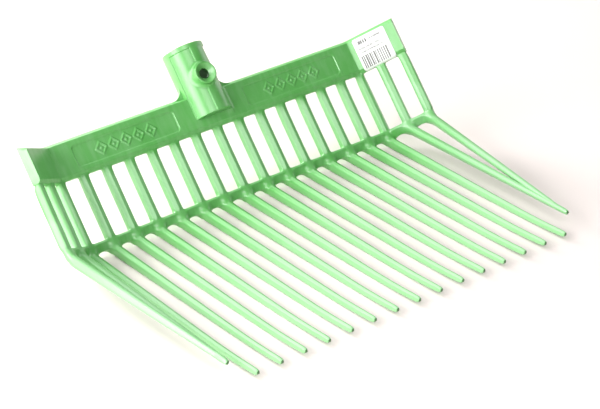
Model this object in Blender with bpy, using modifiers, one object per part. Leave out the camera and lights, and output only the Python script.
"""Plastic bedding fork head, divided into the members that its one moulding is made of.

Units are metres and +Z is up. The tines point along -Y and lie on the ground plane Z = 0.
The header leans back from the bend, its two wings fold forward, and the handle socket runs
parallel to the header. Neighbouring members keep a small clearance, so each is its own solid.
"""

import math

import bmesh
import bpy
from mathutils import Euler, Vector

# Clearance between neighbouring solids.
GAP = 0.0003

# Where the bend, the line on which bars and tines meet, lies in the object's frame.
BEND_Y = 0.068
BEND_Z = 0.0081

# The grille: upright bars at one pitch between the crossbar and the header.
PITCH = 0.023
WING_PLACES = (0.0216, 0.0448)
CENTRE_BARS = 15
WING_BARS = len(WING_PLACES)
BAR_WIDTH = 0.0082
BAR_DEPTH = 0.008
BAR_BEVEL = 0.0015
SLOT_LENGTH = 0.0575
LEAN = math.radians(39.2)
WING_ANGLE = math.radians(45.2)
FOLD_BEYOND_BAR = 0.001

# The crossbar, measured up the grille from the bend.
CROSSBAR_TOP = 0.0055
CROSSBAR_BOTTOM = -0.0045

# The header plate and its wings: a front skin with a rim that turns back all round.
HEADER_HEIGHT = 0.032
HEADER_DEPTH = 0.008
HEADER_PROUD = 0.0058
HEADER_SKIN = 0.003
HEADER_RIM = 0.0028
BROW_RISE = 0.0035
CHIN_RISE = 0.003
WING_LENGTH = 0.049

# The two sunken panels in the header's face.
PANEL_INNER = 0.037
PANEL_OUTER = 0.140
PANEL_HEIGHT = 0.019
PANEL_CENTRE = 0.080
PANEL_SINK = 0.0008
PANEL_RADIUS = 0.0035

# The handle socket, a blind tube parallel to the header.
SOCKET_RADIUS = 0.0192
SOCKET_BORE = 0.016
SOCKET_FLOOR = 0.005
SOCKET_BOTTOM = 0.0742
SOCKET_LENGTH = 0.065
SOCKET_PROUD = 0.001
SOCKET_SIDES = 48

# The boss for the handle's screw, square to the socket on its front.
BOSS_RADIUS = 0.0105
BOSS_RIM_RADIUS = 0.0099
BOSS_REACH = 0.023
BOSS_BELOW_MOUTH = 0.0305
BOSS_SIDES = 32
SINK_RADIUS = 0.0088
SINK_DEPTH = 0.0042
SCREW_RADIUS = 0.0042
COUNTERBORE_RADIUS = 0.0046

# The webs that brace the socket against the header's brow.
WEB_SPREAD = 0.011
WEB_RISE = 0.011
WEB_THICKNESS = 0.004
WEB_ARC_STEPS = 6

# The tines, which taper from under the crossbar to blunt tips that turn up off the ground.
TINE_LENGTH = 0.238
TIP_PITCH = 0.0226
TINE_ROOT = (0.0082, 0.0095)
TINE_TIP = (0.0048, 0.0052)
TINE_ROOT_SETBACK = 0.0015
TIP_RISE = 0.0026
TIP_RISE_FROM = 0.72
TIP_RISE_STEPS = 3
OUTER_TIP = Vector((0.175, -0.223, 0.0137))
OUTER_ROOT_DROP = 0.0015
MERGE_AT = 0.8
MERGE_OFFSET = 0.0012
MERGED_TINE = (0.0058, 0.0054)
TINE_ROLL = {1: math.radians(12.0), 2: math.radians(25.0)}

# The paper label on the right wing.
LABEL_WIDTH = 0.033
LABEL_HEIGHT = 0.032
LABEL_THICKNESS = 0.0003
LABEL_CENTRE = (0.0236, 0.0786)

# Values worked out from the driving dimensions.
HALF_SPAN = PITCH * (CENTRE_BARS - 1) / 2
FOLD_X = HALF_SPAN + FOLD_BEYOND_BAR
HEADER_BOTTOM = CROSSBAR_TOP + SLOT_LENGTH
HEADER_TOP = HEADER_BOTTOM + HEADER_HEIGHT
SOCKET_TOP = SOCKET_BOTTOM + SOCKET_LENGTH
BOSS_HEIGHT = SOCKET_TOP - BOSS_BELOW_MOUTH
TINE_ROOT_Z = TINE_ROOT[1] / 2
TINE_TIP_Z = TINE_TIP[1] / 2

GREEN = (0.13, 0.47, 0.16, 1.0)
PAPER = (0.86, 0.86, 0.84, 1.0)


def clear_scene():
    """Remove every object that the new scene starts with."""
    for item in list(bpy.data.objects):
        bpy.data.objects.remove(item, do_unlink=True)


def new_collection(name):
    """Make a collection in the scene."""
    collection = bpy.data.collections.new(name)
    bpy.context.scene.collection.children.link(collection)
    return collection


def new_material(name, colour, roughness):
    """Make a Principled material."""
    material = bpy.data.materials.new(name)
    material.use_nodes = True
    shader = material.node_tree.nodes["Principled BSDF"]
    shader.inputs["Base Color"].default_value = colour
    shader.inputs["Roughness"].default_value = roughness
    shader.inputs["Metallic"].default_value = 0.0
    return material


def new_empty(name, location, rotation=(0.0, 0.0, 0.0), parent=None):
    """Make an empty that carries the members of one face of the fork."""
    empty = bpy.data.objects.new(name, None)
    empty.location = location
    empty.rotation_euler = rotation
    empty.parent = parent
    parts.objects.link(empty)
    return empty


def place(name, bm, parent, location=(0.0, 0.0, 0.0), rotation=(0.0, 0.0, 0.0), colour=GREEN):
    """Turn a bmesh into a named object of the fork, with its own material."""
    mesh = bpy.data.meshes.new(name)
    bm.to_mesh(mesh)
    bm.free()
    item = bpy.data.objects.new(name, mesh)
    item.location = location
    item.rotation_euler = rotation
    item.parent = parent
    roughness = 0.6 if colour == PAPER else 0.38
    mesh.materials.append(new_material(name + "_material", colour, roughness))
    parts.objects.link(item)
    return item


def make_cutter(item):
    """Move an object to the cutters, where it is hidden and left out of the part."""
    parts.objects.unlink(item)
    cutters.objects.link(item)
    item.hide_render = True
    item.display_type = "WIRE"
    return item


def cut(item, cutter):
    """Cut one object by another."""
    boolean = item.modifiers.new("cut_" + cutter.name, "BOOLEAN")
    boolean.operation = "DIFFERENCE"
    boolean.solver = "EXACT"
    boolean.object = cutter


def bevel(item, width, segments=2):
    """Round an object's sharp edges."""
    modifier = item.modifiers.new("edges", "BEVEL")
    modifier.width = width
    modifier.segments = segments
    modifier.limit_method = "ANGLE"
    modifier.angle_limit = math.radians(40.0)


def box_mesh(size, grow=0.0):
    """A box centred on its own origin, grown on every side by a clearance."""
    bm = bmesh.new()
    bmesh.ops.create_cube(bm, size=1.0)
    bmesh.ops.scale(bm, vec=[length + 2 * grow for length in size], verts=bm.verts)
    return bm


def cylinder_mesh(bottom_radius, top_radius, length, sides):
    """A cylinder or cone along Z, centred on its own origin."""
    bm = bmesh.new()
    bmesh.ops.create_cone(
        bm,
        cap_ends=True,
        segments=sides,
        radius1=bottom_radius,
        radius2=top_radius,
        depth=length,
    )
    return bm


def outline_mesh(name, points, half_thickness):
    """A flat outline with thickness, made by a filled curve and returned as a bmesh."""
    curve = bpy.data.curves.new(name, "CURVE")
    curve.dimensions = "2D"
    curve.fill_mode = "BOTH"
    curve.extrude = half_thickness
    spline = curve.splines.new("POLY")
    spline.points.add(len(points) - 1)
    for slot, point in zip(spline.points, points):
        slot.co = (point[0], point[1], 0.0, 1.0)
    spline.use_cyclic_u = True
    guide = bpy.data.objects.new(name + "_outline", curve)
    cutters.objects.link(guide)
    view_layer = bpy.context.view_layer
    view_layer.update()
    mesh = bpy.data.meshes.new_from_object(guide.evaluated_get(view_layer.depsgraph))
    bm = bmesh.new()
    bm.from_mesh(mesh)
    bmesh.ops.remove_doubles(bm, verts=bm.verts, dist=GAP / 10)
    bmesh.ops.recalc_face_normals(bm, faces=bm.faces)
    bpy.data.objects.remove(guide, do_unlink=True)
    bpy.data.meshes.remove(mesh)
    return bm


def keep_side(bm, point, normal):
    """Cut a bmesh by a plane, keep the side that the normal points to and close the cut."""
    geometry = bm.verts[:] + bm.edges[:] + bm.faces[:]
    result = bmesh.ops.bisect_plane(
        bm, geom=geometry, plane_co=point, plane_no=normal, clear_inner=True
    )
    edges = [part for part in result["geom_cut"] if isinstance(part, bmesh.types.BMEdge)]
    bmesh.ops.edgeloop_fill(bm, edges=edges)
    bmesh.ops.recalc_face_normals(bm, faces=bm.faces)


def mitre_centre(bm, clearance=GAP / 2):
    """Mitre both ends of a centre member where the wings fold forward."""
    half = WING_ANGLE / 2
    for side in (-1, 1):
        normal = Vector((-side * math.cos(half), math.sin(half), 0.0))
        fold = Vector((side * FOLD_X, 0.0, 0.0))
        keep_side(bm, fold + normal * clearance, normal)


def mitre_wing(bm, side, clearance=GAP / 2):
    """Mitre the inner end of a wing member on the same fold."""
    half = WING_ANGLE / 2
    normal = Vector((side * math.cos(half), math.sin(half), 0.0))
    keep_side(bm, normal * clearance, normal)


def header_mesh(width, grow=0.0):
    """The header's solid section: brow and chin slope up, along a length of X."""
    bm = box_mesh((width, HEADER_DEPTH, HEADER_HEIGHT), grow)
    for vert in bm.verts:
        if vert.co.z > 0 and vert.co.y > 0:
            vert.co.z += BROW_RISE
        if vert.co.z < 0 and vert.co.y < 0:
            vert.co.z += CHIN_RISE
        vert.co.y += HEADER_DEPTH / 2 - HEADER_PROUD
        vert.co.z += HEADER_BOTTOM + HEADER_HEIGHT / 2
    return bm


def hollow_back(name, item, parent, left, right):
    """Hollow a header member from behind, which leaves its skin and its rim."""
    height = HEADER_HEIGHT - CHIN_RISE - 2 * HEADER_RIM
    depth = HEADER_DEPTH
    location = (
        (left + right) / 2,
        HEADER_SKIN - HEADER_PROUD + depth / 2,
        HEADER_BOTTOM + CHIN_RISE + HEADER_RIM + height / 2,
    )
    pocket = place(name, box_mesh((right - left, depth, height)), parent, location)
    cut(item, make_cutter(pocket))


def make_header_plate():
    """The centre of the header, notched for the socket, with two sunken panels."""
    bm = header_mesh(2 * (FOLD_X + HEADER_DEPTH))
    mitre_centre(bm)
    plate = place("header_plate", bm, back_frame)
    for side, word in ((-1, "left"), (1, "right")):
        inner = side * (SOCKET_RADIUS + 2 * HEADER_RIM)
        outer = side * (FOLD_X - 2 * HEADER_RIM)
        pocket_name = "header_pocket_" + word
        hollow_back(pocket_name, plate, back_frame, min(inner, outer), max(inner, outer))
        panel_size = (PANEL_OUTER - PANEL_INNER, 2 * PANEL_SINK, PANEL_HEIGHT)
        panel_x = side * (PANEL_INNER + PANEL_OUTER) / 2
        panel_place = (panel_x, -HEADER_PROUD, PANEL_CENTRE)
        panel = place("panel_cutter_" + word, box_mesh(panel_size), back_frame, panel_place)
        round_panel_corners(panel)
        cut(plate, make_cutter(panel))
    cut(plate, socket_clearance)


def round_panel_corners(panel):
    """Round the four corners of a panel cutter, seen from the front."""
    bm = bmesh.new()
    bm.from_mesh(panel.data)
    corners = [edge for edge in bm.edges if is_along_depth(edge)]
    bmesh.ops.bevel(bm, geom=corners, offset=PANEL_RADIUS, segments=4, profile=0.5, affect="EDGES")
    bm.to_mesh(panel.data)
    bm.free()


def is_along_depth(edge):
    """Whether an edge of a box runs front to back."""
    first, second = edge.verts
    return abs(first.co.x - second.co.x) + abs(first.co.z - second.co.z) < GAP


def make_wing_plate(side, word):
    """A wing of the header, hollowed from behind like the centre."""
    bm = header_mesh(2 * WING_LENGTH)
    mitre_wing(bm, side)
    wing = place("wing_plate_" + word, bm, wing_frames[side])
    ends = (side * 2 * HEADER_RIM, side * (WING_LENGTH - HEADER_RIM))
    hollow_back("wing_pocket_" + word, wing, wing_frames[side], min(ends), max(ends))


def make_bars():
    """The upright bars of the grille, numbered from left to right."""
    bottom = CROSSBAR_TOP + GAP
    top = HEADER_BOTTOM - GAP
    chin_slope = CHIN_RISE / HEADER_DEPTH
    fold_bars = {WING_BARS + 1: (-1, "left"), WING_BARS + CENTRE_BARS: (1, "right")}
    number = 1
    for parent, x in bar_places():
        bm = box_mesh((BAR_WIDTH, BAR_DEPTH, top - bottom))
        for vert in bm.verts:
            if vert.co.z > 0:
                vert.co.z += (HEADER_DEPTH - HEADER_PROUD - vert.co.y) * chin_slope
        location = (x, 0.0, (bottom + top) / 2)
        bar = place(f"upper_bar_{number:02d}", bm, parent, location)
        bevel(bar, BAR_BEVEL)
        if number in fold_bars:
            cut(bar, wing_clearance(*fold_bars[number]))
        number += 1


def wing_clearance(side, word):
    """The outer shape of a wing with its clearance, which trims the bar at the fold."""
    bm = header_mesh(2 * WING_LENGTH, GAP)
    mitre_wing(bm, side, -GAP / 2)
    return make_cutter(place("wing_clearance_" + word, bm, wing_frames[side]))


def bar_places():
    """The frame and the X of each bar, from the left wing to the right wing."""
    left = [(wing_frames[-1], -x) for x in reversed(WING_PLACES)]
    centre = [(back_frame, PITCH * step - HALF_SPAN) for step in range(CENTRE_BARS)]
    right = [(wing_frames[1], x) for x in WING_PLACES]
    return left + centre + right


def crossbar_mesh(width, grow=0.0):
    """A crossbar's solid section along a length of X."""
    height = CROSSBAR_TOP - CROSSBAR_BOTTOM
    bm = box_mesh((width, BAR_DEPTH, height), grow)
    bmesh.ops.translate(bm, vec=(0.0, 0.0, CROSSBAR_BOTTOM + height / 2), verts=bm.verts)
    return bm


def make_crossbars():
    """The crossbar in three lengths, and the clearance that each leaves in the tines."""
    centre_width = 2 * (FOLD_X + BAR_DEPTH)
    wing_width = 2 * WING_PLACES[-1] + BAR_WIDTH
    clearances = []
    for grow, suffix in ((0.0, ""), (GAP, "_clearance")):
        bm = crossbar_mesh(centre_width, grow)
        mitre_centre(bm, GAP / 2 - grow)
        members = [place("crossbar_centre" + suffix, bm, back_frame)]
        for side, word in ((-1, "left"), (1, "right")):
            bm = crossbar_mesh(wing_width, grow)
            mitre_wing(bm, side, GAP / 2 - grow)
            members.append(place("crossbar_" + word + suffix, bm, wing_frames[side]))
        for member in members:
            bevel(member, BAR_BEVEL)
        if grow > 0:
            clearances = [make_cutter(member) for member in members]
    return clearances


def tine_mesh(length, root, tip, grow, rise):
    """A tapered tine along -Y, centred on its own origin, whose last stretch curves up by a rise."""
    shares = [0.0, 1.0]
    if rise > 0:
        stretch = 1.0 - TIP_RISE_FROM
        shares[1:] = [TIP_RISE_FROM + stretch * n / TIP_RISE_STEPS for n in range(TIP_RISE_STEPS + 1)]
    bm = bmesh.new()
    rings = []
    for share in shares:
        half_width, half_height = [(a + (b - a) * share) / 2 + grow for a, b in zip(root, tip)]
        lift = rise * (max(share - TIP_RISE_FROM, 0.0) / (1.0 - TIP_RISE_FROM)) ** 2
        y = length / 2 + grow - (length + 2 * grow) * share
        corners = ((-1, -1), (1, -1), (1, 1), (-1, 1))
        rings.append([bm.verts.new((half_width * x, y, lift + half_height * z)) for x, z in corners])
    for first, second in zip(rings, rings[1:]):
        for corner in range(4):
            after = (corner + 1) % 4
            bm.faces.new((first[corner], first[after], second[after], second[corner]))
    bm.faces.new(rings[0])
    bm.faces.new(rings[-1])
    bmesh.ops.recalc_face_normals(bm, faces=bm.faces)
    return bm


def place_tine(name, start, end, root, tip, roll=0.0, grow=0.0, rise=0.0):
    """Place a tine between two points in the object's frame."""
    along = (start - end).normalized()
    turn = along.to_track_quat("Y", "Z") @ Euler((0.0, roll, 0.0)).to_quaternion()
    bm = tine_mesh((start - end).length, root, tip, grow, rise)
    tine = place(name, bm, None, (start + end) / 2, turn.to_euler())
    bevel(tine, BAR_BEVEL)
    return tine


def make_tines(clearances):
    """The tines, numbered from left to right like the bars above them."""
    for step in range(CENTRE_BARS):
        index = step - (CENTRE_BARS - 1) / 2
        start = Vector((index * PITCH, BEND_Y - TINE_ROOT_SETBACK, TINE_ROOT_Z))
        end = Vector((index * TIP_PITCH, BEND_Y - TINE_LENGTH, TINE_TIP_Z))
        number = step + WING_BARS + 1
        tine = place_tine(f"tine_{number:02d}", start, end, TINE_ROOT, TINE_TIP, rise=TIP_RISE)
        cut(tine, clearances[0])
        if step == 0:
            cut(tine, clearances[1])
        if step == CENTRE_BARS - 1:
            cut(tine, clearances[2])
    for side, clearance in ((-1, clearances[1]), (1, clearances[2])):
        make_outer_tines(side, clearance)


def wing_root(side, step):
    """Where a wing tine's centre line leaves the bend."""
    local = Vector((side * WING_PLACES[step - 1], 0.0, 0.0))
    point = wing_frames[side].matrix_world @ local
    return point - Vector((0.0, 0.0, OUTER_ROOT_DROP))


def make_outer_tines(side, clearance):
    """The two wing tines of one side: the outermost leans in and joins its neighbour."""
    last = CENTRE_BARS + 2 * WING_BARS
    numbers = {1: 2, 2: 1} if side < 0 else {1: last - 1, 2: last}
    tip = Vector((side * OUTER_TIP.x, BEND_Y + OUTER_TIP.y, OUTER_TIP.z))
    inner_start = wing_root(side, 1)
    roll = side * TINE_ROLL[1]
    inner_name = f"tine_{numbers[1]:02d}"
    inner = place_tine(inner_name, inner_start, tip, TINE_ROOT, TINE_TIP, roll)
    cut(inner, clearance)
    keep_off = place_tine(inner_name + "_keep", inner_start, tip, TINE_ROOT, TINE_TIP, roll, GAP)
    make_cutter(keep_off)
    outer_start = wing_root(side, 2)
    aside = (outer_start - inner_start).normalized() * MERGE_OFFSET
    join = inner_start.lerp(tip, MERGE_AT) + aside
    outer_name = f"tine_{numbers[2]:02d}"
    outer_roll = side * TINE_ROLL[2]
    outer = place_tine(outer_name, outer_start, join, TINE_ROOT, MERGED_TINE, outer_roll)
    cut(outer, clearance)
    cut(outer, keep_off)


def socket_place(height):
    """A point on the socket's axis, in the back frame."""
    return (0.0, -SOCKET_PROUD, height)


def make_socket():
    """The handle socket, a tube closed at its lower end, with the screw's hole in its front."""
    length = SOCKET_LENGTH
    middle = socket_place(SOCKET_BOTTOM + length / 2)
    tube_mesh = cylinder_mesh(SOCKET_RADIUS, SOCKET_RADIUS, length, SOCKET_SIDES)
    socket = place("handle_socket", tube_mesh, back_frame, middle)
    bore_mesh = cylinder_mesh(SOCKET_BORE, SOCKET_BORE, length, SOCKET_SIDES)
    bore_place = socket_place(SOCKET_BOTTOM + SOCKET_FLOOR + length / 2)
    cut(socket, make_cutter(place("socket_bore_cutter", bore_mesh, back_frame, bore_place)))
    screw_mesh = cylinder_mesh(SCREW_RADIUS, SCREW_RADIUS, BOSS_REACH, BOSS_SIDES)
    screw_place = (0.0, -SOCKET_PROUD - BOSS_REACH / 2, BOSS_HEIGHT)
    screw_turn = (math.radians(90.0), 0.0, 0.0)
    screw_cutter = place("screw_hole_cutter", screw_mesh, back_frame, screw_place, screw_turn)
    cut(socket, make_cutter(screw_cutter))


def make_socket_clearance():
    """The socket's outer shape with its clearance, which cuts the members around it."""
    radius = SOCKET_RADIUS + GAP
    length = SOCKET_LENGTH + 2 * GAP
    middle = socket_place(SOCKET_BOTTOM + SOCKET_LENGTH / 2)
    clearance = cylinder_mesh(radius, radius, length, SOCKET_SIDES)
    return make_cutter(place("socket_clearance", clearance, back_frame, middle))


def make_boss():
    """The screw boss: a round collar on the socket's front with a funnel and a counterbore."""
    turn = (math.radians(90.0), 0.0, 0.0)
    reach = BOSS_REACH - SOCKET_BORE
    middle = (0.0, -SOCKET_PROUD - SOCKET_BORE - reach / 2, BOSS_HEIGHT)
    boss_mesh = cylinder_mesh(BOSS_RADIUS, BOSS_RIM_RADIUS, reach, BOSS_SIDES)
    boss = place("screw_boss", boss_mesh, back_frame, middle, turn)
    cut(boss, socket_clearance)
    rim_y = -SOCKET_PROUD - BOSS_REACH
    funnel_mesh = cylinder_mesh(COUNTERBORE_RADIUS, SINK_RADIUS, SINK_DEPTH, BOSS_SIDES)
    funnel_place = (0.0, rim_y + SINK_DEPTH / 2 - GAP, BOSS_HEIGHT)
    cut(boss, make_cutter(place("funnel_cutter", funnel_mesh, back_frame, funnel_place, turn)))
    hole_mesh = cylinder_mesh(COUNTERBORE_RADIUS, COUNTERBORE_RADIUS, 2 * reach, BOSS_SIDES)
    hole_cutter = place("counterbore_cutter", hole_mesh, back_frame, middle, turn)
    cut(boss, make_cutter(hole_cutter))


def web_outline(side):
    """A web seen from behind: a right angle with its long side drawn in to an arc."""
    foot = HEADER_TOP - WEB_THICKNESS
    inner = SOCKET_RADIUS - WEB_THICKNESS
    points = [(inner, foot), (SOCKET_RADIUS + WEB_SPREAD, foot)]
    for step in range(WEB_ARC_STEPS + 1):
        angle = math.radians(90.0) * step / WEB_ARC_STEPS
        x = SOCKET_RADIUS + WEB_SPREAD * (1.0 - math.sin(angle))
        rise = BROW_RISE + WEB_RISE * (1.0 - math.cos(angle))
        points.append((x, HEADER_TOP + rise))
    points.append((inner, HEADER_TOP + BROW_RISE + WEB_RISE))
    return [(side * x, z) for x, z in points]


def make_webs():
    """The two webs between the socket and the header's brow."""
    header_clearance = make_cutter(
        place("header_clearance", header_mesh(2 * HALF_SPAN, GAP), back_frame)
    )
    turn = (math.radians(90.0), 0.0, 0.0)
    back = HEADER_DEPTH - HEADER_PROUD
    for side, word in ((-1, "left"), (1, "right")):
        name = "socket_web_" + word
        bm = outline_mesh(name, web_outline(side), WEB_THICKNESS / 2)
        web = place(name, bm, back_frame, (0.0, back - WEB_THICKNESS / 2, 0.0), turn)
        cut(web, header_clearance)
        cut(web, socket_clearance)


def make_label():
    """The paper label on the front of the right wing."""
    bm = box_mesh((LABEL_WIDTH, LABEL_THICKNESS, LABEL_HEIGHT))
    front = -HEADER_PROUD - GAP - LABEL_THICKNESS / 2
    location = (LABEL_CENTRE[0], front, LABEL_CENTRE[1])
    place("barcode_label", bm, wing_frames[1], location, colour=PAPER)


clear_scene()
parts = new_collection("bedding_fork_head")
cutters = new_collection("cutters")

back_frame = new_empty("back_frame", (0.0, BEND_Y, BEND_Z), (-LEAN, 0.0, 0.0))
wing_frames = {}
for wing_side, wing_word in ((-1, "left"), (1, "right")):
    fold_turn = (0.0, 0.0, -wing_side * WING_ANGLE)
    wing_frames[wing_side] = new_empty(
        "wing_frame_" + wing_word, (wing_side * FOLD_X, 0.0, 0.0), fold_turn, back_frame
    )
bpy.context.view_layer.update()

socket_clearance = make_socket_clearance()
make_header_plate()
make_wing_plate(-1, "left")
make_wing_plate(1, "right")
make_bars()
make_tines(make_crossbars())
make_socket()
make_boss()
make_webs()
make_label()
